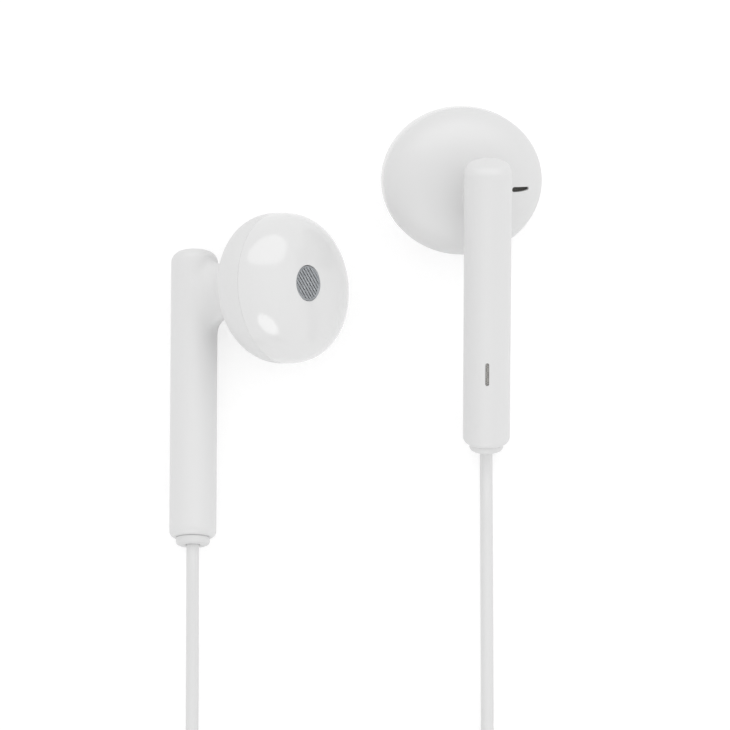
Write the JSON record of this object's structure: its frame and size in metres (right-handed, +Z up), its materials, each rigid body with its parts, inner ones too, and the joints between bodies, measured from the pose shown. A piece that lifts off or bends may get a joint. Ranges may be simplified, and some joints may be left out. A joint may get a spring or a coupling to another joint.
{
  "type": "wired earphones",
  "caption": "Wired half-in-ear earphones: oval heads on round stems, thin white cords, an in-line remote, a splitter and a jack plug, with the spare cord coiled and tied.",
  "frame": {"origin": "on the table, under the middle of the box round the two earpieces", "axes": "+Z is up from the table; the stems run along Y, and the cords leave them towards -Y; +X is across the pair, from the right earpiece to the left one"},
  "size_m": [0.0446, 0.1757, 0.0212],
  "materials": {
    "gloss_white": "glossy moulded white plastic",
    "satin_white": "satin white elastomer",
    "cord": "smooth satin white elastomer sheath",
    "steel_mesh": "fine stainless mesh",
    "dark_mesh": "dark fine mesh",
    "grey_mesh": "grey fine mesh",
    "cloth": "black acoustic cloth",
    "film": "thin moulded film",
    "copper": "enamelled copper winding",
    "steel": "plain steel",
    "magnet": "nickel-plated magnet",
    "basket": "dark grey moulded plastic",
    "board": "green solder mask",
    "plated": "thin gold-coloured plating",
    "insulator": "white moulded insulator",
    "tie": "soft white strap"
  },
  "bodies": {
    "earphones": {"right_front_shell": "gloss_white", "right_outlet_grille": "steel_mesh", "right_damper_cloth": "cloth", "right_driver_basket": "basket", "right_diaphragm": "film", "right_voice_coil": "copper", "right_top_plate": "steel", "right_magnet": "magnet", "right_yoke": "steel", "right_terminal_board": "board", "right_vent_mesh": "dark_mesh", "right_port_mesh": "grey_mesh", "right_rear_housing": "gloss_white", "right_grommet": "satin_white", "left_front_shell": "gloss_white", "left_outlet_grille": "steel_mesh", "left_damper_cloth": "cloth", "left_driver_basket": "basket", "left_diaphragm": "film", "left_voice_coil": "copper", "left_top_plate": "steel", "left_magnet": "magnet", "left_yoke": "steel", "left_terminal_board": "board", "left_vent_mesh": "dark_mesh", "left_port_mesh": "grey_mesh", "left_rear_housing": "gloss_white", "left_grommet": "satin_white", "remote_front_shell": "gloss_white", "remote_back_shell": "gloss_white", "remote_board": "board", "remote_relief_top": "satin_white", "remote_relief_bottom": "satin_white", "splitter": "satin_white", "plug_tip": "plated", "plug_ring_inner": "plated", "plug_ring_outer": "plated", "plug_sleeve": "plated", "plug_insulator": "insulator", "plug_handle": "gloss_white", "plug_relief": "satin_white", "right_coil_upper": "cord", "right_coil_lower": "cord", "left_coil": "cord", "main_coil": "cord", "right_cord_upper": "cord", "right_cord_middle": "cord", "right_cord_lower": "cord", "right_cord_end": "cord", "left_cord_upper": "cord", "left_cord_end": "cord", "main_cord_start": "cord", "main_cord_end": "cord", "right_tie_upper": "tie", "right_tie_lower": "tie", "left_tie": "tie", "main_tie": "tie"},
    "remote_button_up": {"remote_button_up": "gloss_white"},
    "remote_button_middle": {"remote_button_middle": "gloss_white"},
    "remote_button_down": {"remote_button_down": "gloss_white"}
  },
  "joints": [
    {"name": "remote_button_up_press", "type": "slide", "parent": "earphones", "child": "remote_button_up", "axis": [0, 0, -1], "range_m": [0, 0.0003], "stiffness_N_per_m": 800},
    {"name": "remote_button_middle_press", "type": "slide", "parent": "earphones", "child": "remote_button_middle", "axis": [0, 0, -1], "range_m": [0, 0.0003], "stiffness_N_per_m": 800},
    {"name": "remote_button_down_press", "type": "slide", "parent": "earphones", "child": "remote_button_down", "axis": [0, 0, -1], "range_m": [0, 0.0003], "stiffness_N_per_m": 800}
  ]
}
